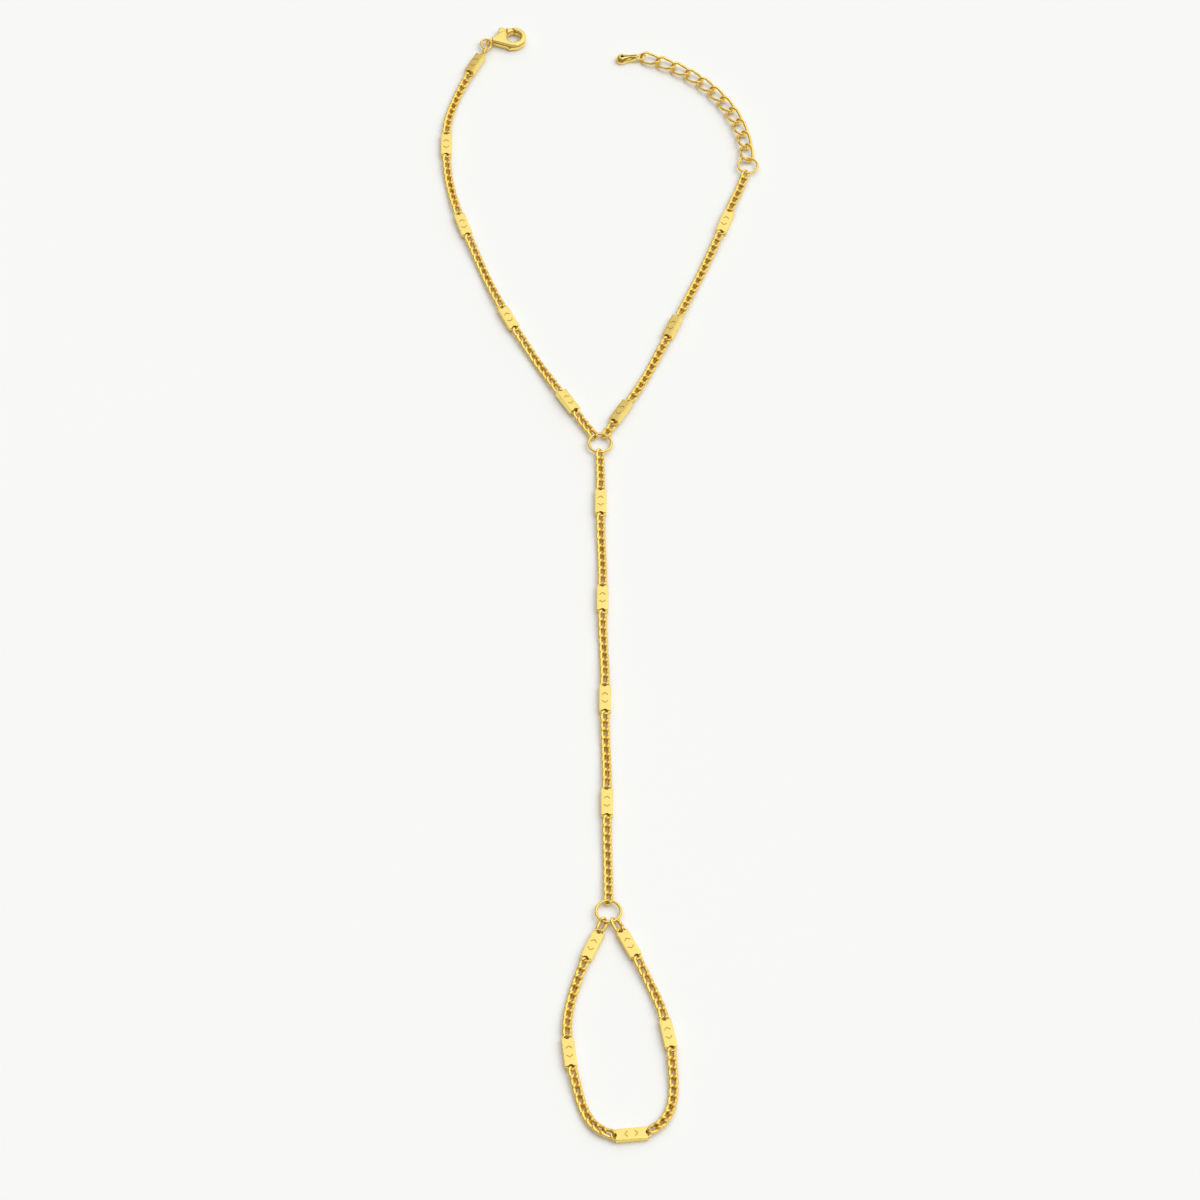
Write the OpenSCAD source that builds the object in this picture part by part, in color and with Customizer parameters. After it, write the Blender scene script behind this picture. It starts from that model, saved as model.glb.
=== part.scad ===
// Hand chain bracelet, laid out flat with its clasp open.
// A wrist chain with an extender, a hand chain and a finger loop meet at two plain rings.
// All lengths are millimetres, +Z is up and the bars rest on z = 0.
// The origin is the middle of the underside of the second hand bar.

/* [Bars] */
// Width of a bar
bar_w = 1.95; // [1.5:0.05:2.4]
// Thickness of a bar
bar_t = 1.05; // [0.8:0.05:1.4]
// Distance between the flat sides of the two eyes of a bar
bar_span = 4.5; // [4:0.1:6]
// Radius of the half round hole of an eye
eye_hole_r = 0.66; // [0.66:0.01:0.75]
// Width of the rim round an eye
eye_rim_w = 0.27; // [0.22:0.01:0.28]
// Thickness of the rim round an eye
eye_rim_t = 0.26; // [0.2:0.02:0.28]

/* [Curb chain] */
// Length of a curb link over its wire
link_l = 2.5; // [2.45:0.01:2.55]
// Width of a curb link over its wire
link_w = 1.55; // [1.5:0.01:1.65]
// Wire diameter of a curb link
link_wire = 0.36; // [0.3:0.01:0.37]
// Turn of each end of a curb link away from flat, in degrees
link_twist = 50; // [48:1:54]
// Length that a run of chain sags below the eyes
chain_sag = 0.3; // [0:0.05:0.3]

/* [Rings] */
// Outer diameter of the hand ring and of the finger ring
ring_d = 4.35; // [4.2:0.05:5]
// Wire diameter of the hand ring and of the finger ring
ring_wire = 0.45; // [0.35:0.01:0.46]
// Width of the two single links between the finger ring and its bars
connector_w = 1.65; // [1.6:0.05:1.7]
// Outer diameter of the extender ring
extender_ring_d = 3.9; // [3.8:0.05:4.2]
// Wire diameter of the extender ring
extender_ring_wire = 0.4; // [0.34:0.01:0.4]
// Length of the oval clasp ring
clasp_ring_l = 2.8; // [2.75:0.05:2.9]
// Width of the oval clasp ring
clasp_ring_w = 2.05; // [2.05:0.05:2.15]
// Wire diameter of the clasp ring
clasp_ring_wire = 0.4; // [0.34:0.01:0.4]

/* [Extender] */
// Length of an extender link over its wire
extender_link_l = 4.1; // [4.05:0.01:4.2]
// Width of an extender link over its wire
extender_link_w = 2.6; // [2.5:0.05:2.7]
// Wire diameter of an extender link
extender_link_wire = 0.4; // [0.34:0.01:0.42]
// Distance from the eye of the end drop to the middle of its head
drop_l = 3.6; // [3:0.1:5]
// Diameter of the head of the end drop
drop_d = 2.05; // [1.9:0.05:2.4]
// Thickness of the head of the end drop
drop_t = 1.3; // [1.2:0.05:1.6]

/* [Clasp] */
// Thickness of the clasp
clasp_t = 1.6; // [1.5:0.05:1.6]
// Outer radius of the hook
hook_r = 2.25; // [2.2:0.01:2.35]
// Radius of the opening inside the hook
hook_hole_r = 1.4; // [1.35:0.01:1.42]
// Distance from the clasp eye to the middle of the hook
hook_x = 4.4; // [4.35:0.01:4.45]
// Thickness of the lever
lever_t = 0.7; // [0.5:0.05:0.8]
// Diameter of the pin that the lever turns on
pin_d = 0.44; // [0.36:0.02:0.5]

/* [Hidden] */
$fn = 48;

// Clearances between pieces that hang in each other
eye_seat = 0.32;
ring_gap = 0.15;
extender_gap = 0.22;
drop_seat = 0.1;
pin_gap = 0.1;
lever_gap = 0.1;

// Height of the eyes, the rings, the extender and the ends of every run of chain
eye_z = 0.8;

// Place of each bar on the table: x, y and the direction it points in, in degrees
wrist_left_places = [
    [-23, 118.8, -116],
    [-28, 99.4, -89],
    [-24.6, 80.6, -71],
    [-16.3, 59.4, -64],
    [-6, 41, -58]
];
wrist_right_places = [
    [3.3, 38.7, 60],
    [12.3, 57.3, 67],
    [21.7, 81.3, 71]
];
hand_places = [
    [-0.3, 19.8, -90],
    [0, 0, -90],
    [0.4, -19.8, -90],
    [0.7, -39.6, -90]
];
finger_places = [
    [-1.6, -65.8, -114],
    [-5.1, -84.5, -83],
    [4.3, -98.4, 6],
    [10, -81.3, 101],
    [4.1, -65.5, 117]
];
centre_ring_place = [-0.4, 32.1];
finger_ring_place = [0.9, -59.7];
extender_ring_place = [26, 94.4];
drop_place = [7.2, 120.7, 184];
clasp_heading = 7;

// Middle radius of each ring's wire
ring_r = (ring_d - ring_wire) / 2;
extender_ring_r = (extender_ring_d - extender_ring_wire) / 2;

// Curb links: half length of the wire's middle line, and twists of the end links that stand in an eye
link_half = (link_l - link_wire) / 2;
eye_twist = 100;
connector_twist = 120;
drop_twist = 56;
extender_half = (extender_link_l - extender_link_wire) / 2;

// Segments of a link: four round each end and one along each side, with a five sided wire
end_steps = 4;
wire_sides = 5;
link_steps = 2 * (end_steps + 1);

function unit(v) = v / norm(v);
function heading(angle) = [cos(angle), sin(angle)];
function turn_between(a, b) = (b - a + 540) % 360 - 180;

// Middle line of a link lying along x, its two ends turned by twist_a and twist_b about x
function link_line(len, wid, wire, twist_a, twist_b) =
    let (a = (len - wire) / 2, b = (wid - wire) / 2)
    [for (side = [1, -1], i = [0:end_steps])
        let (
            angle = -90 + 180 * i / end_steps,
            x = side * (a - b + b * cos(angle)),
            y = side * b * sin(angle),
            twist = twist_a + (twist_b - twist_a) * (x / a + 1) / 2
        )
        [x, y * cos(twist), y * sin(twist)]];

// A link is [middle, direction, length, width, wire, twist_a, twist_b]
function link_points(link) =
    let (
        line = link_line(link[2], link[3], link[4], link[5], link[6]),
        along = unit(link[1]),
        across = unit(cross([0, 0, 1], along)),
        over = cross(along, across)
    )
    [for (i = [0:link_steps - 1])
        let (
            p = line[i],
            ahead = unit(line[(i + 1) % link_steps] - line[(i + link_steps - 1) % link_steps]),
            outward = unit(p - ahead * (p * ahead)),
            beside = cross(ahead, outward)
        )
        for (j = [0:wire_sides - 1])
            let (
                angle = 360 * j / wire_sides,
                q = p + link[4] / 2 * (outward * cos(angle) + beside * sin(angle))
            )
            link[0] + along * q[0] + across * q[1] + over * q[2]];

// Triangles of one link whose points start at first
function link_faces(first) =
    [for (i = [0:link_steps - 1], j = [0:wire_sides - 1])
        let (
            here = first + i * wire_sides,
            ahead = first + (i + 1) % link_steps * wire_sides,
            next = (j + 1) % wire_sides
        )
        for (face = [
            [here + j, ahead + j, ahead + next],
            [here + j, ahead + next, here + next]
        ])
            face];

module links(chain) {
    per_link = link_steps * wire_sides;
    polyhedron(
        points = [for (link = chain, p = link_points(link)) p],
        faces = [for (i = [0:len(chain) - 1], f = link_faces(i * per_link)) f]
    );
}

// End of a run in the eye of a bar, ahead of the bar (side 1) or behind it (side -1).
// The link may swing in the eye, away from the direction of the bar.
function at_eye(place, side, swing = 0) =
    let (
        eye = [place[0], place[1]] + side * bar_span / 2 * heading(place[2]),
        middle = eye + side * (eye_seat + link_half) * heading(place[2] + swing)
    )
    [middle, place[2] + swing];

// End of a run round the wire of a ring, leaving it (side 1) or reaching it (side -1)
function at_ring(place, angle, side, radius, wire) =
    let (reach = radius - wire / 2 - ring_gap - link_wire / 2 + link_half)
    [place + reach * heading(angle), side > 0 ? angle : angle + 180];

function at_plain_ring(place, angle, side) = at_ring(place, angle, side, ring_r, ring_wire);

// Point and direction at share t of a smooth curve between two ends of a run
function curve_at(from, to, t, lead) =
    let (
        chord = norm(to[0] - from[0]),
        reach = chord / pow(cos(turn_between(from[1], to[1]) / 4), 2),
        start = lead[0] * reach * heading(from[1]),
        finish = lead[1] * reach * heading(to[1])
    )
    [
        (2 * t * t * t - 3 * t * t + 1) * from[0] + (t * t * t - 2 * t * t + t) * start
            + (3 * t * t - 2 * t * t * t) * to[0] + (t * t * t - t * t) * finish,
        (6 * t * t - 6 * t) * from[0] + (3 * t * t - 4 * t + 1) * start
            + (6 * t - 6 * t * t) * to[0] + (3 * t * t - 2 * t) * finish
    ];

// A run of count curb links between two ends, sagging a little in its middle
function curb_run(from, to, count, lead = [1, 1]) =
    let (sag = min(chain_sag, 0.04 * (count - 1)))
    [for (i = [0:count - 1])
        let (
            t = i / (count - 1),
            spot = curve_at(from, to, t, lead),
            z = eye_z - sag * (1 - cos(360 * t)) / 2,
            fall = -sag * PI * sin(360 * t)
        )
        [
            [spot[0][0], spot[0][1], z],
            [spot[1][0], spot[1][1], count > 2 ? fall : 0],
            link_l, link_w, link_wire,
            i == 0 ? eye_twist : -link_twist,
            i == count - 1 ? -eye_twist : link_twist
        ]];

// One single link from a ring to the near eye of a bar
function connector(ring_place, eye) =
    let (
        span = eye - ring_place,
        from = ring_r - ring_wire / 2 - ring_gap - link_wire / 2,
        to = norm(span) - eye_seat,
        middle = ring_place + unit(span) * (from + to) / 2
    )
    [
        [middle[0], middle[1], eye_z],
        [span[0], span[1], 0],
        to - from + link_wire, connector_w, link_wire,
        connector_twist, eye_twist
    ];

function eye_of(place, side) = [place[0], place[1]] + side * bar_span / 2 * heading(place[2]);

// The link between the first bar and the clasp ring, and the ring that it holds
clasp_link = at_eye(wrist_left_places[0], -1, 8);
clasp_link_place = [clasp_link[0][0], clasp_link[0][1], eye_z];
clasp_link_heading = clasp_link[1] + 180;
clasp_ring_heading = 105;
clasp_ring_half = (clasp_ring_l - clasp_ring_wire) / 2;
clasp_ring_side = (clasp_ring_w - clasp_ring_wire) / 2;
clasp_ring_straight = clasp_ring_half - clasp_ring_side;
clasp_contact_heading = 18;
clasp_ring_hook = clasp_link[0]
    + (link_half - link_wire / 2 - ring_gap - clasp_ring_wire / 2) * heading(clasp_link_heading);
clasp_ring_place = clasp_ring_hook + clasp_ring_side * heading(clasp_link_heading)
    + clasp_ring_straight * heading(clasp_ring_heading);
clasp_place = clasp_ring_place + clasp_ring_straight * heading(clasp_ring_heading)
    + clasp_ring_side * heading(clasp_contact_heading);

wrist_left_links = concat(
    [[clasp_link_place, concat(heading(clasp_link_heading), [0]), link_l, link_w, link_wire, eye_twist, eye_twist]],
    curb_run(at_eye(wrist_left_places[0], 1, 3), at_eye(wrist_left_places[1], -1, -4), 10),
    curb_run(at_eye(wrist_left_places[1], 1, 3), at_eye(wrist_left_places[2], -1, -3), 9),
    curb_run(at_eye(wrist_left_places[2], 1, 1), at_eye(wrist_left_places[3], -1, -2), 11),
    curb_run(at_eye(wrist_left_places[3], 1, 2), at_eye(wrist_left_places[4], -1, -1), 10),
    curb_run(at_eye(wrist_left_places[4], 1), at_plain_ring(centre_ring_place, 122, -1), 4)
);
extender_ring_end = at_ring(extender_ring_place, -104, -1, extender_ring_r, extender_ring_wire);
wrist_right_links = concat(
    curb_run(at_plain_ring(centre_ring_place, 62, 1), at_eye(wrist_right_places[0], -1), 2),
    curb_run(at_eye(wrist_right_places[0], 1, 1), at_eye(wrist_right_places[1], -1, -2), 10),
    curb_run(at_eye(wrist_right_places[1], 1, 1), at_eye(wrist_right_places[2], -1, -1), 13),
    curb_run(at_eye(wrist_right_places[2], 1, 2), extender_ring_end, 6)
);
hand_links = concat(
    curb_run(at_plain_ring(centre_ring_place, -90, 1), at_eye(hand_places[0], -1), 5),
    curb_run(at_eye(hand_places[0], 1), at_eye(hand_places[1], -1), 9),
    curb_run(at_eye(hand_places[1], 1), at_eye(hand_places[2], -1), 9),
    curb_run(at_eye(hand_places[2], 1), at_eye(hand_places[3], -1), 9),
    curb_run(at_eye(hand_places[3], 1), at_plain_ring(finger_ring_place, 90, -1), 10)
);
finger_links = concat(
    [connector(finger_ring_place, eye_of(finger_places[0], -1))],
    curb_run(at_eye(finger_places[0], 1, 5), at_eye(finger_places[1], -1, -5), 9),
    curb_run(at_eye(finger_places[1], 1, 8), at_eye(finger_places[2], -1, -26), 9, [0.9, 1]),
    curb_run(at_eye(finger_places[2], 1, 26), at_eye(finger_places[3], -1, -8), 10, [1, 0.9]),
    curb_run(at_eye(finger_places[3], 1, 4), at_eye(finger_places[4], -1, -4), 7),
    [connector(finger_ring_place, eye_of(finger_places[4], 1))]
);

// The extender: eleven open links on a curve from the extender ring to the end drop
extender_count = 11;
extender_reach = extender_ring_r - (extender_ring_wire + extender_link_wire) / 2 - extender_gap + extender_half;
extender_start = [extender_ring_place + extender_reach * heading(93), 93];
extender_end = [[drop_place[0], drop_place[1]] - (extender_half - drop_seat) * heading(160), 160];
extender_links = [for (i = [0:extender_count - 1])
    let (spot = curve_at(extender_start, extender_end, i / (extender_count - 1), [1, 1]))
    [
        [spot[0][0], spot[0][1], eye_z],
        [spot[1][0], spot[1][1], 0],
        extender_link_l, extender_link_w, extender_link_wire,
        link_twist, i == extender_count - 1 ? -drop_twist : -link_twist
    ]];

gold = [0.9, 0.74, 0.36];

// Half round rim ahead of the end of a bar, its arms sunk in the block
module eye_rim() {
    eye_outer = eye_hole_r + eye_rim_w;
    translate([bar_span / 2, 0, eye_z - eye_rim_t / 2])
        linear_extrude(eye_rim_t)
            difference() {
                circle(eye_outer);
                circle(eye_hole_r);
                translate([-2 * eye_outer - 0.2, -eye_outer])
                    square(2 * eye_outer);
            }
}

module bar(place) {
    color(gold)
        translate([place[0], place[1], 0])
            rotate([0, 0, place[2]]) {
                translate([-bar_span / 2, -bar_w / 2, 0])
                    cube([bar_span, bar_w, bar_t]);
                eye_rim();
                rotate([0, 0, 180])
                    eye_rim();
            }
}

module round_ring(place, radius, wire) {
    color(gold)
        translate([place[0], place[1], eye_z])
            rotate_extrude()
                translate([radius, 0])
                    circle(wire / 2);
}

module wrist_bar_left_1() {
    bar(wrist_left_places[0]);
}

module wrist_bar_left_2() {
    bar(wrist_left_places[1]);
}

module wrist_bar_left_3() {
    bar(wrist_left_places[2]);
}

module wrist_bar_left_4() {
    bar(wrist_left_places[3]);
}

module wrist_bar_left_5() {
    bar(wrist_left_places[4]);
}

module wrist_bar_right_1() {
    bar(wrist_right_places[0]);
}

module wrist_bar_right_2() {
    bar(wrist_right_places[1]);
}

module wrist_bar_right_3() {
    bar(wrist_right_places[2]);
}

module hand_bar_1() {
    bar(hand_places[0]);
}

module hand_bar_2() {
    bar(hand_places[1]);
}

module hand_bar_3() {
    bar(hand_places[2]);
}

module hand_bar_4() {
    bar(hand_places[3]);
}

module finger_bar_1() {
    bar(finger_places[0]);
}

module finger_bar_2() {
    bar(finger_places[1]);
}

module finger_bar_3() {
    bar(finger_places[2]);
}

module finger_bar_4() {
    bar(finger_places[3]);
}

module finger_bar_5() {
    bar(finger_places[4]);
}

module centre_ring() {
    round_ring(centre_ring_place, ring_r, ring_wire);
}

module finger_ring() {
    round_ring(finger_ring_place, ring_r, ring_wire);
}

module extender_ring() {
    round_ring(extender_ring_place, extender_ring_r, extender_ring_wire);
}

module wrist_chain_left() {
    color(gold) links(wrist_left_links);
}

module wrist_chain_right() {
    color(gold) links(wrist_right_links);
}

module hand_chain() {
    color(gold) links(hand_links);
}

module finger_chain() {
    color(gold) links(finger_links);
}

module extender_chain() {
    color(gold) links(extender_links);
}

// Oval ring of round wire lying flat: two half rings and two straight sides
module clasp_ring() {
    color(gold)
        translate([clasp_ring_place[0], clasp_ring_place[1], eye_z])
            rotate([0, 0, clasp_ring_heading])
                for (side = [0, 180])
                    rotate([0, 0, side]) {
                        translate([clasp_ring_straight, 0, 0])
                            rotate([0, 0, -90])
                                rotate_extrude(angle = 180)
                                    translate([clasp_ring_side, 0])
                                        circle(clasp_ring_wire / 2);
                        translate([-clasp_ring_straight, clasp_ring_side, 0])
                            rotate([0, 90, 0])
                                cylinder(h = 2 * clasp_ring_straight, d = clasp_ring_wire);
                    }
}

// Clasp parts are drawn with the eye at the origin and the hook along +x
pivot = [2.15, 0.55];
hook_y = 0.15;
hook_hole = [4.45, 0.25];
hook_edge_r = 2.82;
lever_edge_r = hook_edge_r - lever_gap;

module place_clasp() {
    color(gold)
        translate([clasp_place[0], clasp_place[1], 0])
            rotate([0, 0, clasp_heading])
                children();
}

module clasp_body() {
    place_clasp() {
        difference() {
            linear_extrude(clasp_t)
                difference() {
                    union() {
                        translate([hook_x, hook_y])
                            circle(hook_r);
                        polygon([[0.5, 0.42], [1.7, 1.35], [3, 2], [3.3, -1.8], [0.5, -0.42]]);
                    }
                    translate(hook_hole)
                        circle(hook_hole_r);
                    intersection() {
                        translate(pivot)
                            circle(hook_edge_r);
                        polygon([[3, 0.8], [3, 2.8], [5.4, 2.8], [5.4, 0.8]]);
                    }
                }
            translate([0, 0, (clasp_t - lever_t) / 2 - lever_gap])
                linear_extrude(lever_t + 2 * lever_gap)
                    polygon([[1.3, -0.2], [1.3, 3], [3.8, 3], [3.8, -0.5], [3.3, -0.7], [2.1, -0.5]]);
        }
        translate([pivot[0], pivot[1], 0.1])
            cylinder(h = clasp_t - 0.2, d = pin_d);
        translate([0, 0.2, clasp_t / 2])
            rotate([90, 0, 0])
                linear_extrude(0.4)
                    difference() {
                        circle(0.75);
                        circle(0.43);
                    }
    }
}

module clasp_lever() {
    place_clasp()
        translate([0, 0, (clasp_t - lever_t) / 2])
            linear_extrude(lever_t)
                difference() {
                    union() {
                        translate(pivot)
                            circle(0.55);
                        intersection() {
                            translate(pivot)
                                circle(lever_edge_r);
                            polygon([
                                [1.75, 0.8], [1.75, 1.9], [1.95, 2.85], [2.1, 3], [2.65, 3], [3.05, 2.6], [4.1, 2.4],
                                [5.2, 2.3], [5.2, 1.65], [4.2, 1.62], [3.5, 1.3], [2.9, 0.6], [2.6, 0.3]
                            ]);
                        }
                    }
                    translate(pivot)
                        circle(pin_d / 2 + pin_gap);
                }
}

// Flat teardrop with an eye, a slot along it and a round hole in its head
module end_drop() {
    eye_t = 0.28;
    color(gold)
        translate([drop_place[0], drop_place[1], 0])
            rotate([0, 0, drop_place[2]])
                difference() {
                    union() {
                        translate([0, 0, eye_z - eye_t / 2])
                            linear_extrude(eye_t)
                                union() {
                                    circle(0.8);
                                    translate([0, -0.6])
                                        square([1.6, 1.2]);
                                }
                        linear_extrude(drop_t)
                            union() {
                                translate([drop_l, 0])
                                    circle(d = drop_d);
                                polygon([
                                    [0.9, 0.5], [2.2, 0.5], [drop_l, drop_d / 2],
                                    [drop_l, -drop_d / 2], [2.2, -0.5], [0.9, -0.5]
                                ]);
                            }
                    }
                    translate([0, 0, -1])
                        linear_extrude(drop_t + 2)
                            union() {
                                circle(0.54);
                                translate([0, -0.1])
                                    square([drop_l, 0.2]);
                                translate([drop_l, 0])
                                    circle(0.28);
                            }
                }
}

clasp_body();
clasp_lever();
clasp_ring();
wrist_chain_left();
wrist_bar_left_1();
wrist_bar_left_2();
wrist_bar_left_3();
wrist_bar_left_4();
wrist_bar_left_5();
centre_ring();
wrist_chain_right();
wrist_bar_right_1();
wrist_bar_right_2();
wrist_bar_right_3();
extender_ring();
extender_chain();
end_drop();
hand_chain();
hand_bar_1();
hand_bar_2();
hand_bar_3();
hand_bar_4();
finger_ring();
finger_chain();
finger_bar_1();
finger_bar_2();
finger_bar_3();
finger_bar_4();
finger_bar_5();
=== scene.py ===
"""The looks of a hand chain bracelet in gold-plated brass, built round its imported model.

Smooth chain links, rings, engraved bars, the clasp and the end drop stand for their CAD nodes.
Lengths are metres; what is easier read in millimetres is written times MM.
"""
import math

import bmesh
import bpy
import numpy as np
from mathutils import Matrix, Vector


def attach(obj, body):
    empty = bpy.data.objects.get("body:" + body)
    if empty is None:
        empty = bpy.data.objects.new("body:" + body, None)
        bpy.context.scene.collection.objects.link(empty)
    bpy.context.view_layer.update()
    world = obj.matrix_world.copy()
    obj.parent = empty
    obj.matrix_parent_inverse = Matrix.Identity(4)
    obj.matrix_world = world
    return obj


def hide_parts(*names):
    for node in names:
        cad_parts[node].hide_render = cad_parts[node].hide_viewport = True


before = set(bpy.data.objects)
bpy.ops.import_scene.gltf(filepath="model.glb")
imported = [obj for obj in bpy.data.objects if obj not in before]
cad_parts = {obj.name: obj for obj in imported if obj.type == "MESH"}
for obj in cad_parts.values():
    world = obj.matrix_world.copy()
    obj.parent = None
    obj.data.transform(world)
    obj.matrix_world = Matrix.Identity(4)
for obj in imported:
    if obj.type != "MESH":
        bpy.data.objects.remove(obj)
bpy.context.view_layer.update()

MM = 0.001
UP = Vector((0, 0, 1))

# Places in the CAD nodes that are closer together than this count as one
MERGE = 0.0005 * MM

# The bodies that pieces ride on, and the slot names handed to new_piece with them
BODY = "bracelet"
LEVER_BODY = "lever"
WIRE_SLOT = "bright_wire"
BAR_SLOT = "satin_bars"
CAST_SLOT = "cast_fittings"

# The photograph's view. Its round rings gave the elevation and the distance.
VIEW_ELEVATION = math.radians(55)
VIEW_DISTANCE = 643.5 * MM
VIEW_AIM = Vector((-0.4, 0.2, 0)) * MM
LENS_MM = 117
SENSOR_MM = 36
CLIP_START = 0.01
CLIP_END = 20

# The studio: a sky that is brightest round one direction, the place of its main lamp, and the floor
SKY_BRIGHTEST = Vector((0.3, 0.45, 0.84)).normalized()
SKY_DARK_AT = 0.3
SKY_BRIGHT_AT = 0.93
SKY_DARK = (0.26, 0.19, 0.11, 1)
SKY_BRIGHT = (1, 1, 1, 1)
SKY_STRENGTH = 1.06
KEY_PLACE = (0.6, 0.1, 0.8)
FLOOR_HALF = 3
FLOOR_ROUGHNESS = 0.9
FLOOR_SHINE = 0.1
FLOOR_MOTTLE_SCALE = 9
FLOOR_TONES = ((0.838, 0.87, 0.89), (0.852, 0.884, 0.904))

# Metal: the size of its patches of tone, the part of the noise that counts and how far the gloss varies
PATCH_SIZE = 2.5 * MM
PATCH_DETAIL = 3
GRAIN_DETAIL = 4
NOISE_LOW = 0.3
NOISE_HIGH = 0.7
GLOSS_SPREAD = 0.2

# Chain links: how finely they are drawn, how far their ends stay from upright, which sides of their wire
# face inwards and how full it is
LINK_ARC_STEPS = 14
LINK_SIDE_STEPS = 4
LINK_LEAN = math.radians(28)
WIRE_SIDES = 12
INNER_SIDES = range(WIRE_SIDES // 3, 2 * WIRE_SIDES // 3)
WIRE_FULLNESS = 1.1
WIRE_INWARD = 2.0
OPEN_WIRE_FULLNESS = 1.18
OPEN_WIRE_INWARD = 1.25

# Rings
RING_STEPS = 72
RING_SIDES = 16

# Bars: the round wire of their eyes, which are narrower on a bar that has rolled
BAR_EYE_R = 0.77 * MM
BAR_EYE_WIRE_R = 0.17 * MM
BAR_EYE_Z = 0.8 * MM
BAR_EYE_SINK = 0.25 * MM
BAR_EYE_STEPS = 24
ROLLED_EYE_WIDTH = 0.78

# Bars: the ears and notches of the block, its rounding, and the degrees by which four bars have rolled
EAR = 0.2 * MM
NOTCH_R = 0.5 * MM
NOTCH_FLOOR = -0.08 * MM
NOTCH_STEPS = 40
NOTCH_HEIGHT = 10 * MM
NOTCH_MARGIN = 1.01
ROUNDING = 0.09 * MM
ROUNDING_STEPS = 4
FLAT_NORMAL = 0.999
CREASE = math.radians(50)
ROLLS = {"wrist_bar_left_1": -18, "wrist_bar_left_5": 14, "wrist_bar_right_1": -18, "wrist_bar_right_2": -17}

# Bars: the engraved lozenge
MARK_REACH = 0.98 * MM
MARK_HALF_WIDTH = 0.48 * MM
MARK_RISE = 0.42 * MM
MARK_STROKE = 0.19 * MM
MARK_DEPTH = 0.09 * MM

# Bars: the order of their materials; the engraved marks and the notches get darker golds as painted shade
PLATE_GOLD, EDGE_GOLD, MARK_SHADE_GOLD, NOTCH_SHADE_GOLD = range(4)

# Castings: how they are softened, and how much less of it their thin eyes get
CAST_VOXEL = 0.045 * MM
CAST_SWELL = 0.07 * MM
CAST_EYE_REACH = 0.8 * MM
CAST_EYE_FADE = 0.6 * MM
CAST_EYE_SHARE = 0.2
CLASP_PASSES = 120
LEVER_PASSES = 40
DROP_PASSES = 50

# Clasp: its eye and direction, the seam and the boss on its near side, and the thicker tip of its lever
CLASP_EYE = Vector((-20.572, 124.422, 0)) * MM
CLASP_TURN = Matrix.Rotation(math.radians(7), 3, "Z")
SEAM_Z = 1.12 * MM
SEAM_HALF_HEIGHT = 0.13 * MM
SEAM_DEPTH = 0.2 * MM
BOSS = CLASP_EYE + CLASP_TURN @ Vector((3.5, -1.9, 0.5)) * MM
BOSS_R = 0.4 * MM
BOSS_HEIGHT = 0.25 * MM
LEVER_Z = 0.8 * MM
LEVER_TIP_START = 3.2 * MM
LEVER_TIP_FULL = 3.5 * MM
LEVER_SPREAD = 1.9

# End drop: its eye and direction, its neck and head, its domed top, its hole and its slot
DROP_EYE = Vector((7.2, 120.7, 0)) * MM
DROP_TURN = Matrix.Rotation(math.radians(184), 3, "Z")
DROP_HEAD_X = 3.6 * MM
DROP_HEAD_R = 1.02 * MM
DROP_NECK_X = 2.2 * MM
DROP_NECK_R = 0.5 * MM
DROP_DOME = 0.45
DROP_HOLE_R = 0.34 * MM
DROP_SLOT_X = DROP_NECK_X - CAST_EYE_REACH
DROP_SLOT_R = 0.12 * MM


def new_object(name, data):
    """An object in the scene."""
    obj = bpy.data.objects.new(name, data)
    bpy.context.scene.collection.objects.link(obj)
    return obj


def new_piece(name, mesh, body, slot, node, *materials):
    """Adds a mesh to the scene as the piece that stands for a CAD node."""
    for material in materials:
        mesh.materials.append(material)
    piece = new_object(name, mesh)
    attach(piece, body)
    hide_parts(node)


def smooth_mesh(name, verts, faces):
    """A mesh of smooth faces."""
    mesh = bpy.data.meshes.new(name)
    mesh.from_pydata(verts, [], faces)
    mesh.polygons.foreach_set("use_smooth", [True] * len(faces))
    mesh.validate()
    return mesh


def finished_mesh(name, bm):
    """The mesh of a bmesh, which is freed."""
    mesh = bpy.data.meshes.new(name)
    bm.to_mesh(mesh)
    bm.free()
    return mesh


def scaled(x, y, z):
    """A scaling along each axis."""
    return Matrix.Diagonal((x, y, z, 1))


def ramp(value, start, end):
    """0 before the start, 1 past the end and even between them."""
    return min(max((value - start) / (end - start), 0), 1)


def add_tube(verts, faces, line, centre, radius, sides, closed=True, inward=1):
    """Sweeps a wire along a line that runs round a centre, onto the end of verts and faces.

    The half of the wire that faces the centre is deeper than the outer half by the factor inward.
    """
    first = len(verts)
    count = len(line)
    for i, point in enumerate(line):
        before = line[i - 1] if closed or i else point
        after = line[(i + 1) % count] if closed or i + 1 < count else point
        along = (after - before).normalized()
        outward = point - centre
        outward = (outward - along * outward.dot(along)).normalized()
        beside = along.cross(outward)
        for j in range(sides):
            angle = 2 * math.pi * j / sides
            depth = math.cos(angle) * (inward if math.cos(angle) < 0 else 1)
            verts.append(point + radius * (outward * depth + beside * math.sin(angle)))
    for i in range(count if closed else count - 1):
        here = first + i * sides
        ahead = first + (i + 1) % count * sides
        for j in range(sides):
            j2 = (j + 1) % sides
            faces.append((here + j, ahead + j, ahead + j2, here + j2))
    if not closed:
        faces.append(tuple(range(first, first + sides)))
        faces.append(tuple(reversed(range(first + (count - 1) * sides, first + count * sides))))


def flood(start, neighbours):
    """Everything that can be reached from start."""
    found = {start}
    waiting = [start]
    while waiting:
        for other in neighbours(waiting.pop()):
            if other not in found:
                found.add(other)
                waiting.append(other)
    return found


def linked_verts(vert):
    """The corners at the other ends of a corner's edges."""
    return [edge.other_vert(vert) for edge in vert.link_edges]


def by_index(verts):
    """Corners in the order of the mesh."""
    return sorted(verts, key=lambda vert: vert.index)


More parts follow.
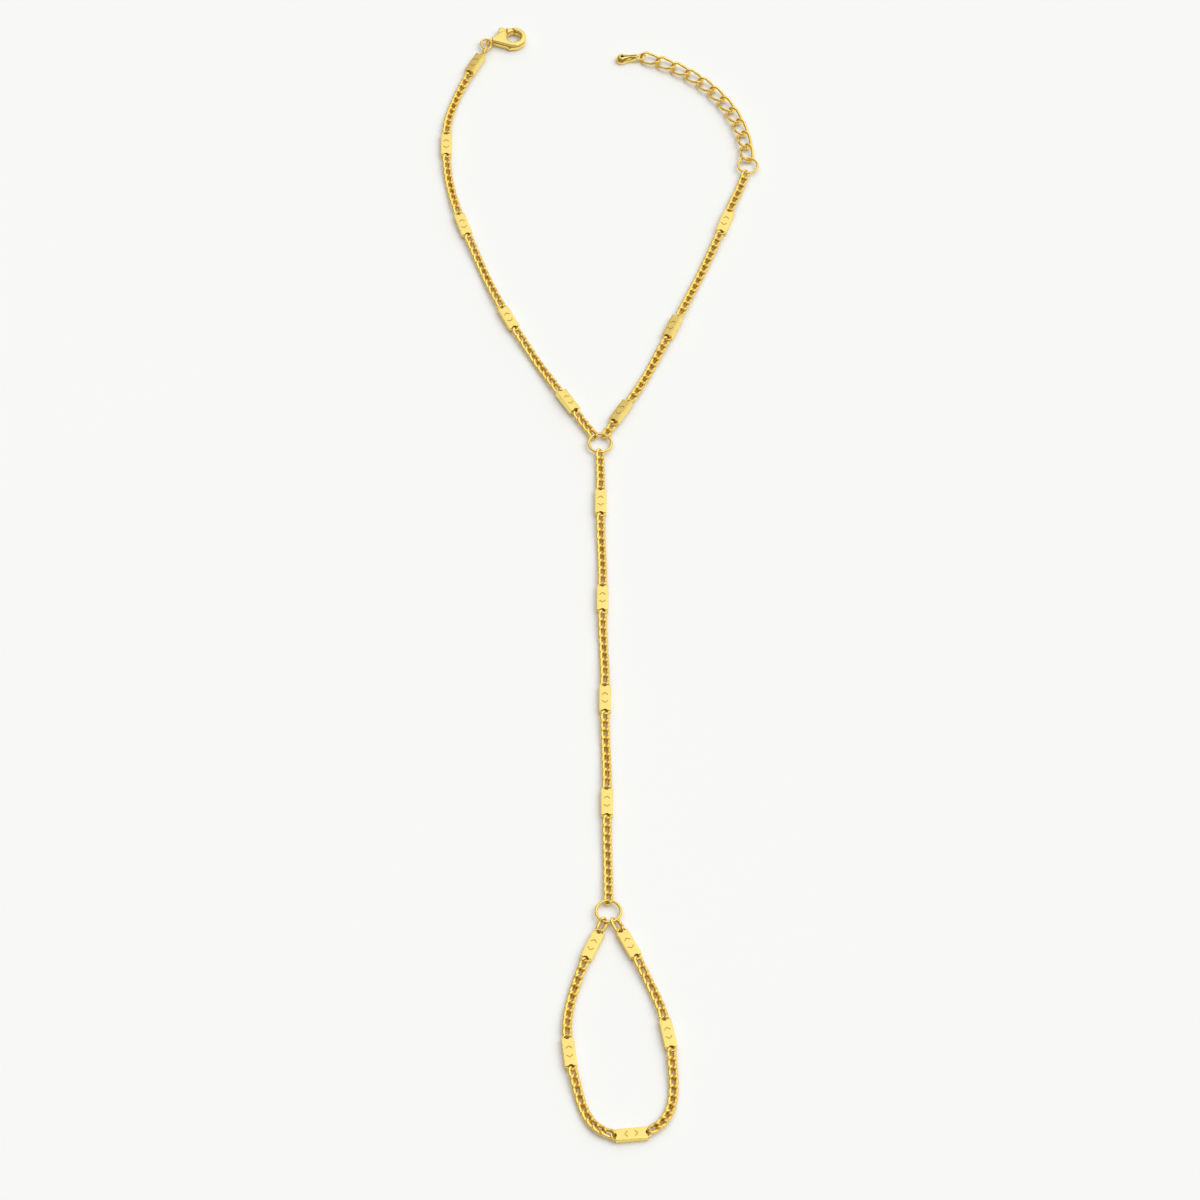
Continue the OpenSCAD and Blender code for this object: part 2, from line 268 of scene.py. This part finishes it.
def wire_rounds(verts, edges):
    """The corners of one faceted link in groups, each of them lying round the wire at one place.

    A link is a closed tube of five sides, so as many of its edges as it has corners lie round the wire,
    all of one length, and these tell the groups apart.
    """
    by_length = sorted(edges, key=lambda edge: edge.calc_length())
    lengths = [edge.calc_length() for edge in by_length]
    count = len(verts)
    start = min(range(len(edges) - count + 1), key=lambda i: lengths[i + count - 1] - lengths[i])
    round_edges = set(by_length[start:start + count])

    def beside(vert):
        return [edge.other_vert(vert) for edge in vert.link_edges if edge in round_edges]

    grouped = set()
    rounds = []
    for vert in by_index(verts):
        if vert not in grouped:
            group = flood(vert, beside)
            grouped |= group
            rounds.append(by_index(group))
    return rounds


def centre_line(verts):
    """Points along the middle of one faceted link, in order, and the radius of its wire."""
    edges = {edge for vert in verts for edge in vert.link_edges}
    rounds = wire_rounds(verts, edges)
    round_of = {vert: i for i, group in enumerate(rounds) for vert in group}
    beside = [set() for _ in rounds]
    for edge in edges:
        a, b = (round_of[vert] for vert in edge.verts)
        if a != b:
            beside[a].add(b)
            beside[b].add(a)
    order = [0, min(beside[0])]
    while len(order) < len(rounds):
        order.append((beside[order[-1]] - {order[-2]}).pop())
    points = [sum((vert.co for vert in group), Vector()) / len(group) for group in rounds]
    radius = sum((vert.co - points[0]).length for vert in rounds[0]) / len(rounds[0])
    return [points[i] for i in order], radius


def laid_over(angle, other):
    """The angle at one end of a link, with an upright end laid over, so that all links look as wide.

    It mirrors the angle at the link's other end, or leans towards it where both ends are upright.
    """
    upright, other_upright = (math.pi * (math.floor(a / math.pi) + 0.5) for a in (angle, other))
    if abs(angle - upright) >= LINK_LEAN:
        return angle
    if abs(other - other_upright) >= LINK_LEAN:
        return 2 * math.pi * round(other / math.pi) - other
    return upright + math.copysign(LINK_LEAN, other - upright)


def oval(straight, short_r):
    """Points round a flat oval, as places along and across it."""
    places = []
    for side in (1, -1):
        for step in range(LINK_ARC_STEPS + 1):
            angle = math.pi * (step / LINK_ARC_STEPS - 0.5)
            places.append((side * (straight + short_r * math.cos(angle)), side * short_r * math.sin(angle)))
        for step in range(1, LINK_SIDE_STEPS):
            places.append((side * straight * (1 - 2 * step / LINK_SIDE_STEPS), side * short_r))
    return places


def finer_line(points):
    """The same oval, drawn through many more points, with most of its twist at its ends, and its centre."""
    half = len(points) // 2
    gaps = [(points[i] - points[i - 1]).length for i in range(len(points))]
    start = max(range(half), key=lambda i: gaps[i] + gaps[i + half])
    turned = points[start:] + points[:start]
    head, tail = turned[:half], turned[half:]
    head_tip, tail_tip = head[half // 2], tail[half // 2]
    centre = (head_tip + tail_tip) / 2
    axis = (head_tip - tail_tip).normalized()
    level = UP.cross(axis).normalized()
    rise = axis.cross(level)
    head_across = head[-1] - head[0]
    tail_across = tail[0] - tail[-1]
    long_r = (head_tip - tail_tip).length / 2
    short_r = head_across.length / 2
    straight = long_r - short_r
    turn = math.atan2(axis.dot(tail_across.cross(head_across)), tail_across.dot(head_across))
    mean = math.atan2(head_across.dot(rise), head_across.dot(level)) - turn / 2
    swing = turn / 2 * long_r / straight
    tail_angle = laid_over(mean - swing, mean + swing)
    head_angle = laid_over(mean + swing, mean - swing)
    line = []
    for x, y in oval(straight, short_r):
        reach = x / long_r
        twist = tail_angle + (head_angle - tail_angle) * (1 + reach * abs(reach)) / 2
        line.append(centre + axis * x + (level * math.cos(twist) + rise * math.sin(twist)) * y)
    return line, centre


def chain_piece(node, fullness, inward, *materials):
    """Smooth links in place of a chain node's faceted ones; the last material goes on their inner sides,
    where a darker gold paints the shade between the links.
    """
    bm = bmesh.new()
    bm.from_mesh(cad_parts[node].data)
    bmesh.ops.remove_doubles(bm, verts=bm.verts, dist=MERGE)
    bm.verts.index_update()
    verts, faces, seen = [], [], set()
    for vert in bm.verts:
        if vert not in seen:
            link = flood(vert, linked_verts)
            seen |= link
            points, radius = centre_line(link)
            line, centre = finer_line(points)
            add_tube(verts, faces, line, centre, radius * fullness, WIRE_SIDES, inward=inward)
    bm.free()
    mesh = smooth_mesh(node, verts, faces)
    # Painted shade: the inner sides of the wires take the last material, a darker gold where one is given,
    # for the shade between the links.
    for i, face in enumerate(mesh.polygons):
        if i % WIRE_SIDES in INNER_SIDES:
            face.material_index = len(materials) - 1
    new_piece(node + "_links", mesh, BODY, WIRE_SLOT, node, *materials)


def node_points(node):
    """The corners of a CAD node."""
    return np.array([vert.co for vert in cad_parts[node].data.vertices], float)


def flat_axes(points):
    """The middle of a set of points and the direction in which they reach furthest along the table."""
    flat = points[:, :2]
    middle = (flat.min(0) + flat.max(0)) / 2
    spread = np.cov((flat - flat.mean(0)).T)
    along = np.linalg.eigh(spread)[1][:, 1]
    return Vector((*middle, 0)), Vector((*along, 0)) * math.copysign(1, along[1])


def extent(points, axis):
    """How far a set of points reaches along an axis."""
    return float(np.ptp(points @ np.array(axis)))


def ring_piece(node, material):
    """A smooth round or oval ring of round wire in place of a ring node."""
    points = node_points(node)
    centre, along = flat_axes(points)
    across = UP.cross(along)
    reach, width, radius = (extent(points, axis) / 2 for axis in (along, across, UP))
    centre.z = float(points[:, 2].min()) + radius
    short_r = width - radius
    straight = max(reach - width, 0)
    line = []
    for step in range(RING_STEPS):
        angle = 2 * math.pi * (step + 0.5) / RING_STEPS
        shift = math.copysign(straight, math.cos(angle))
        line.append(centre + along * (shift + short_r * math.cos(angle)) + across * short_r * math.sin(angle))
    verts, faces = [], []
    add_tube(verts, faces, line, centre, radius * WIRE_FULLNESS, RING_SIDES)
    new_piece(node + "_wire", smooth_mesh(node, verts, faces), BODY, WIRE_SLOT, node, material)


def apply_modifiers(obj):
    """The object's mesh with its modifiers applied; the object goes."""
    graph = bpy.context.evaluated_depsgraph_get()
    mesh = bpy.data.meshes.new_from_object(obj.evaluated_get(graph))
    bpy.data.objects.remove(obj)
    return mesh


def carved(mesh, cutter):
    """A mesh with another cut out of it."""
    whole = new_object("whole", mesh)
    tool = new_object("tool", cutter)
    cut = whole.modifiers.new("cut", "BOOLEAN")
    cut.object = tool
    cut.solver = "EXACT"
    cut.use_self = True
    result = apply_modifiers(whole)
    bpy.data.objects.remove(tool)
    return result


def add_lozenge(bm, top):
    """Adds two facing chevrons along the bar to a cutter, reaching a little way under its top."""
    slope = math.atan2(MARK_RISE, MARK_HALF_WIDTH)
    stroke = scaled(math.hypot(MARK_RISE, MARK_HALF_WIDTH), MARK_STROKE, 2 * MARK_DEPTH)
    for end in (1, -1):
        for side in (1, -1):
            middle = Vector((end * (MARK_REACH - MARK_RISE / 2), side * MARK_HALF_WIDTH / 2, top))
            turn = Matrix.Rotation(end * side * (math.pi / 2 + slope), 4, "Z")
            bmesh.ops.create_cube(bm, size=1, matrix=Matrix.Translation(middle) @ turn @ stroke)


def notch_x(length):
    """How far from the middle of a bar the centres of its notches are."""
    return length / 2 + NOTCH_FLOOR + NOTCH_R


def add_notches(bm, length):
    """Adds to a cutter the round notches in which the chain meets the two ends of a bar."""
    for end in (1, -1):
        bmesh.ops.create_cone(
            bm, cap_ends=True, segments=NOTCH_STEPS, radius1=NOTCH_R, radius2=NOTCH_R, depth=NOTCH_HEIGHT,
            matrix=Matrix.Translation((end * notch_x(length), 0, 0)),
        )


def bar_cutter(length, top):
    """Everything that is cut out of a bar."""
    bm = bmesh.new()
    add_lozenge(bm, top)
    add_notches(bm, length)
    return finished_mesh("cutter", bm)


def bar_gold(face, length, height):
    """Which of the bar's materials a face of its block gets."""
    x, y, z = abs(face.center.x), abs(face.center.y), face.center.z
    # Painted shade: the round notches at the bar's ends take a dark brown gold.
    if math.hypot(x - notch_x(length), y) < NOTCH_MARGIN * NOTCH_R:
        return NOTCH_SHADE_GOLD
    # Painted shade: the engraved strokes take a darker gold.
    if max(x - MARK_REACH, y - MARK_HALF_WIDTH) < MARK_STROKE and height / 2 < z < height - MERGE:
        return MARK_SHADE_GOLD
    return PLATE_GOLD if max(abs(part) for part in face.normal) >= FLAT_NORMAL else EDGE_GOLD


def bar_block(length, width, height):
    """The engraved block of a bar with an ear at each corner and its edges rounded."""
    bm = bmesh.new()
    size = scaled(length + 2 * EAR, width, height)
    bmesh.ops.create_cube(bm, size=1, matrix=Matrix.Translation((0, 0, height / 2)) @ size)
    bmesh.ops.bevel(
        bm, geom=bm.edges[:], offset=ROUNDING, segments=ROUNDING_STEPS, profile=0.5, affect="EDGES",
        clamp_overlap=True,
    )
    block = carved(finished_mesh("block", bm), bar_cutter(length, height))
    for face in block.polygons:
        face.use_smooth = True
        face.material_index = bar_gold(face, length, height)
    return block


def roll_onto_floor(mesh, angle):
    """Turns a block about its own length and sets it down again."""
    mesh.transform(Matrix.Rotation(angle, 4, "X"))
    mesh.transform(Matrix.Translation((0, 0, -min(vert.co.z for vert in mesh.vertices))))


def bar_eyes(length):
    """The half round wire eyes at both ends of a bar."""
    verts, faces = [], []
    for end in (1, -1):
        centre = Vector((end * length / 2, 0, BAR_EYE_Z))
        line = [centre + Vector((-end * BAR_EYE_SINK, -BAR_EYE_R, 0))]
        for step in range(BAR_EYE_STEPS + 1):
            angle = math.pi * (step / BAR_EYE_STEPS - 0.5)
            line.append(centre + BAR_EYE_R * Vector((end * math.cos(angle), math.sin(angle), 0)))
        line.append(centre + Vector((-end * BAR_EYE_SINK, BAR_EYE_R, 0)))
        inside = centre - Vector((end * BAR_EYE_SINK, 0, 0))
        add_tube(verts, faces, line, inside, BAR_EYE_WIRE_R, WIRE_SIDES, closed=False)
    return smooth_mesh("eyes", verts, faces)


def bar_piece(node, *materials):
    """A bar with rounded edges, an engraved lozenge and wire eyes in place of a bar node."""
    points = node_points(node)
    height = float(points[:, 2].max())
    corners = points[points[:, 2] > height - MERGE]
    centre, along = flat_axes(corners)
    across = UP.cross(along)
    length, width = (extent(corners, axis) for axis in (along, across))
    place = Matrix((along, across, UP)).transposed().to_4x4()
    place.translation = centre
    block = bar_block(length, width, height)
    eyes = bar_eyes(length)
    if node in ROLLS:
        roll_onto_floor(block, math.radians(ROLLS[node]))
        eyes.transform(scaled(1, ROLLED_EYE_WIDTH, 1))
    bm = bmesh.new()
    bm.from_mesh(block)
    bm.from_mesh(eyes)
    for face in bm.faces[len(block.polygons):]:
        face.material_index = EDGE_GOLD
    for edge in bm.edges:
        edge.smooth = edge.calc_face_angle(0) < CREASE
    bm.transform(place)
    new_piece(node + "_plate", finished_mesh(node, bm), BODY, BAR_SLOT, node, *materials)


def clasp_shape(place, normal):
    """A seam along the clasp's near side and a small boss under it."""
    facing = max(0, -normal.dot(CLASP_TURN @ Vector((0, 1, 0))))
    seam = math.exp(-((place.z - SEAM_Z) / SEAM_HALF_HEIGHT) ** 2)
    boss = math.exp(-((place - BOSS).length / BOSS_R) ** 2)
    return place + normal * facing * (BOSS_HEIGHT * boss - SEAM_DEPTH * seam)


def lever_shape(place, normal):
    """The lever grows as thick as the hook where it meets it."""
    x = (CLASP_TURN.inverted() @ (place - CLASP_EYE)).x
    spread = 1 + (LEVER_SPREAD - 1) * ramp(x, LEVER_TIP_START, LEVER_TIP_FULL)
    return Vector((place.x, place.y, LEVER_Z + (place.z - LEVER_Z) * spread))


def drop_place(place):
    """A place measured along the end drop, from its eye."""
    return DROP_TURN.inverted() @ (place - DROP_EYE)


def drop_shape(place, normal):
    """The top of the end drop falls away to its sides."""
    local = drop_place(place)
    half = DROP_NECK_R + (DROP_HEAD_R - DROP_NECK_R) * ramp(local.x, DROP_NECK_X, DROP_HEAD_X)
    off = math.hypot(max(local.x - DROP_HEAD_X, 0), local.y) / half
    fall = DROP_DOME * ramp(local.x, CAST_EYE_REACH, DROP_NECK_X)
    return Vector((place.x, place.y, place.z * (1 - fall * min(off, 1) ** 3)))


def in_drop_hollow(place):
    """Whether a place is in the round hole or the slot of the end drop."""
    local = drop_place(place)
    in_hole = math.hypot(local.x - DROP_HEAD_X, local.y) < DROP_HOLE_R
    in_slot = abs(local.y) < DROP_SLOT_R and DROP_SLOT_X < local.x < DROP_HEAD_X
    return in_hole or in_slot


def reshape(mesh, shape):
    """Moves every vertex to where the shape puts it."""
    places = [shape(vert.co, vert.normal) for vert in mesh.vertices]
    for vert, place in zip(mesh.vertices, places):
        vert.co = place


def beyond_eye(places, eye):
    """How much of the rounding each place gets: little at the thin eye, all of it further on."""
    off = np.linalg.norm(places[:, :2] - np.array(eye[:2]), axis=1)
    return CAST_EYE_SHARE + (1 - CAST_EYE_SHARE) * np.clip((off - CAST_EYE_REACH) / CAST_EYE_FADE, 0, 1)


def soften(mesh, passes, eye):
    """Rounds a mesh by drawing its vertices to the middle of their neighbours, and swells its sides again."""
    count = len(mesh.vertices)
    places = np.empty(3 * count)
    mesh.vertices.foreach_get("co", places)
    places = places.reshape(count, 3)
    ends = np.empty(2 * len(mesh.edges), int)
    mesh.edges.foreach_get("vertices", ends)
    start, end = ends.reshape(-1, 2).T
    near = np.bincount(ends, minlength=count)
    share = beyond_eye(places, eye)
    for _ in range(passes):
        for axis in range(3):
            place = places[:, axis]
            total = np.bincount(start, place[end], count) + np.bincount(end, place[start], count)
            place += share * (total / near - place) / 2
    mesh.vertices.foreach_set("co", places.ravel())
    mesh.update()
    normals = np.array([vert.normal for vert in mesh.vertices])
    places[:, :2] += CAST_SWELL * share[:, None] * normals[:, :2]
    mesh.vertices.foreach_set("co", places.ravel())
    mesh.update()


def cast_piece(node, body, passes, eye, shape, hollow, *materials):
    """A casting with soft edges in place of a sharp CAD node; the second material paints shade into its
    hollows.
    """
    obj = new_object("cast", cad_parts[node].data.copy())
    skin = obj.modifiers.new("skin", "REMESH")
    skin.mode = "VOXEL"
    skin.voxel_size = CAST_VOXEL
    mesh = apply_modifiers(obj)
    soften(mesh, passes, eye)
    mesh.polygons.foreach_set("use_smooth", [True] * len(mesh.polygons))
    mesh.materials.clear()
    if hollow:
        for face in mesh.polygons:
            face.material_index = int(hollow(face.center))
    reshape(mesh, shape)
    new_piece(node + "_casting", mesh, body, CAST_SLOT, node, *materials)


def new_material(name):
    """A material, its node tree and its shader."""
    material = bpy.data.materials.new(name)
    material.use_nodes = True
    return material, material.node_tree, material.node_tree.nodes["Principled BSDF"]


def add_noise(tree, scale, detail=2):
    """A noise through the object's own space."""
    where = tree.nodes.new("ShaderNodeTexCoord")
    noise = tree.nodes.new("ShaderNodeTexNoise")
    noise.inputs["Scale"].default_value = scale
    noise.inputs["Detail"].default_value = detail
    tree.links.new(where.outputs["Object"], noise.inputs["Vector"])
    return noise.outputs["Fac"]


def add_tones(tree, noise, low, high):
    """A colour between two tones, picked by a noise."""
    tone = tree.nodes.new("ShaderNodeMix")
    tone.data_type = "RGBA"
    tone.inputs["A"].default_value = (*low, 1)
    tone.inputs["B"].default_value = (*high, 1)
    tree.links.new(noise, tone.inputs["Factor"])
    return tone.outputs["Result"]


def gold(name, colour, deep, roughness, grain, grain_depth):
    """Plated metal: two close golds in soft patches, uneven gloss and a fine grain."""
    material, tree, shader = new_material(name)
    grains = add_noise(tree, 1 / grain, GRAIN_DETAIL)
    tones = add_tones(tree, add_noise(tree, 1 / PATCH_SIZE, PATCH_DETAIL), deep, colour)
    gloss = tree.nodes.new("ShaderNodeMapRange")
    gloss.inputs["From Min"].default_value = NOISE_LOW
    gloss.inputs["From Max"].default_value = NOISE_HIGH
    gloss.inputs["To Min"].default_value = roughness * (1 - GLOSS_SPREAD)
    gloss.inputs["To Max"].default_value = roughness * (1 + GLOSS_SPREAD)
    bump = tree.nodes.new("ShaderNodeBump")
    bump.inputs["Strength"].default_value = 1
    bump.inputs["Distance"].default_value = grain_depth
    shader.inputs["Metallic"].default_value = 1
    tree.links.new(grains, gloss.inputs["Value"])
    tree.links.new(grains, bump.inputs["Height"])
    tree.links.new(tones, shader.inputs["Base Color"])
    tree.links.new(gloss.outputs["Result"], shader.inputs["Roughness"])
    tree.links.new(bump.outputs["Normal"], shader.inputs["Normal"])
    return material


def floor_material():
    """A pale, dull, faintly mottled floor."""
    material, tree, shader = new_material("pale_floor")
    shader.inputs["Roughness"].default_value = FLOOR_ROUGHNESS
    shader.inputs["Specular IOR Level"].default_value = FLOOR_SHINE
    tones = add_tones(tree, add_noise(tree, FLOOR_MOTTLE_SCALE), *FLOOR_TONES)
    tree.links.new(tones, shader.inputs["Base Color"])
    return material


def add_floor():
    """The plain floor on which the bracelet lies."""
    mesh = bpy.data.meshes.new("floor")
    corners = [(x * FLOOR_HALF, y * FLOOR_HALF, 0) for x, y in ((-1, -1), (1, -1), (1, 1), (-1, 1))]
    mesh.from_pydata(corners, [], [(0, 1, 2, 3)])
    mesh.materials.append(floor_material())
    new_object("floor", mesh)


def add_camera():
    """The camera, high up beyond the finger loop's end of the bracelet."""
    data = bpy.data.cameras.new("camera")
    data.sensor_width = SENSOR_MM
    data.lens = LENS_MM
    data.clip_start = CLIP_START
    data.clip_end = CLIP_END
    camera = new_object("camera", data)
    back = Vector((0, -math.cos(VIEW_ELEVATION), math.sin(VIEW_ELEVATION)))
    camera.location = VIEW_AIM + back * VIEW_DISTANCE
    camera.rotation_euler = (math.pi / 2 - VIEW_ELEVATION, 0, 0)
    bpy.context.scene.camera = camera


def add_sun(name, place, spread, strength, mirrored=True):
    """A far light of the given angular width, shining from a place towards the bracelet."""
    data = bpy.data.lights.new(name, "SUN")
    data.angle = math.radians(spread)
    data.energy = strength
    light = new_object(name, data)
    light.rotation_euler = (-Vector(place)).to_track_quat("-Z", "Y").to_euler()
    light.visible_glossy = mirrored


def add_sky():
    """A studio tent: bright above and behind the bracelet, dim low down and behind the camera."""
    world = bpy.data.worlds.new("studio")
    world.use_nodes = True
    nodes, links = world.node_tree.nodes, world.node_tree.links
    background = nodes["Background"]
    where = nodes.new("ShaderNodeTexCoord")
    nearness = nodes.new("ShaderNodeVectorMath")
    nearness.operation = "DOT_PRODUCT"
    nearness.inputs[1].default_value = SKY_BRIGHTEST
    tones = nodes.new("ShaderNodeValToRGB")
    dark, bright = tones.color_ramp.elements
    dark.position = SKY_DARK_AT
    dark.color = SKY_DARK
    bright.position = SKY_BRIGHT_AT
    bright.color = SKY_BRIGHT
    links.new(where.outputs["Generated"], nearness.inputs[0])
    links.new(nearness.outputs["Value"], tones.inputs["Fac"])
    links.new(tones.outputs["Color"], background.inputs["Color"])
    background.inputs["Strength"].default_value = SKY_STRENGTH
    bpy.context.scene.world = world


bpy.context.scene.view_settings.view_transform = "Standard"
add_camera()
add_sky()
add_sun("key", KEY_PLACE, spread=46, strength=0.8, mirrored=False)
add_sun("key_glow", KEY_PLACE, spread=60, strength=0.2)
add_sun("sparkle", (0.25, -0.1, 0.96), spread=6, strength=0.05)
add_sun("floor_fill", UP, spread=90, strength=0.56, mirrored=False)
add_floor()

bright_gold = gold(
    "bright_gold", colour=(1.0, 0.77, 0.225), deep=(0.98, 0.7, 0.17), roughness=0.15, grain=0.25 * MM,
    grain_depth=0.002 * MM,
)
# Painted shade: a darker, duller gold on the inner sides of the chain links, where they face each other.
inner_shade_gold = gold(
    "inner_shade_gold", colour=(0.88, 0.59, 0.12), deep=(0.79, 0.5, 0.09), roughness=0.3, grain=0.25 * MM,
    grain_depth=0.002 * MM,
)
satin_gold = gold(
    "satin_gold", colour=(1.0, 0.81, 0.275), deep=(0.99, 0.765, 0.225), roughness=0.3, grain=0.09 * MM,
    grain_depth=0.003 * MM,
)
# Painted shade: a darker, dull gold in the engraved strokes of the lozenge.
mark_shade_gold = gold(
    "mark_shade_gold", colour=(0.9, 0.6, 0.17), deep=(0.82, 0.52, 0.12), roughness=0.5, grain=0.09 * MM,
    grain_depth=0.004 * MM,
)
cast_gold = gold(
    "cast_gold", colour=(1.0, 0.8, 0.275), deep=(0.98, 0.74, 0.215), roughness=0.19, grain=0.4 * MM,
    grain_depth=0.004 * MM,
)
# Painted shade: a dark brown gold in the bars' notches and in the end drop's hole and slot.
shade_gold = gold(
    "shade_gold", colour=(0.55, 0.33, 0.09), deep=(0.44, 0.25, 0.06), roughness=0.5, grain=0.09 * MM,
    grain_depth=0.004 * MM,
)

for name in sorted(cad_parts):
    if name == "extender_chain":
        chain_piece(name, OPEN_WIRE_FULLNESS, OPEN_WIRE_INWARD, bright_gold)
    elif name.endswith("_chain") or "_chain_" in name:
        chain_piece(name, WIRE_FULLNESS, WIRE_INWARD, bright_gold, inner_shade_gold)
    elif name.endswith("_ring"):
        ring_piece(name, bright_gold)
    elif "_bar_" in name:
        bar_piece(name, satin_gold, bright_gold, mark_shade_gold, shade_gold)

cast_piece("clasp_body", BODY, CLASP_PASSES, CLASP_EYE, clasp_shape, None, cast_gold)
cast_piece("clasp_lever", LEVER_BODY, LEVER_PASSES, CLASP_EYE, lever_shape, None, cast_gold)
cast_piece("end_drop", BODY, DROP_PASSES, DROP_EYE, drop_shape, in_drop_hollow, cast_gold, shade_gold)
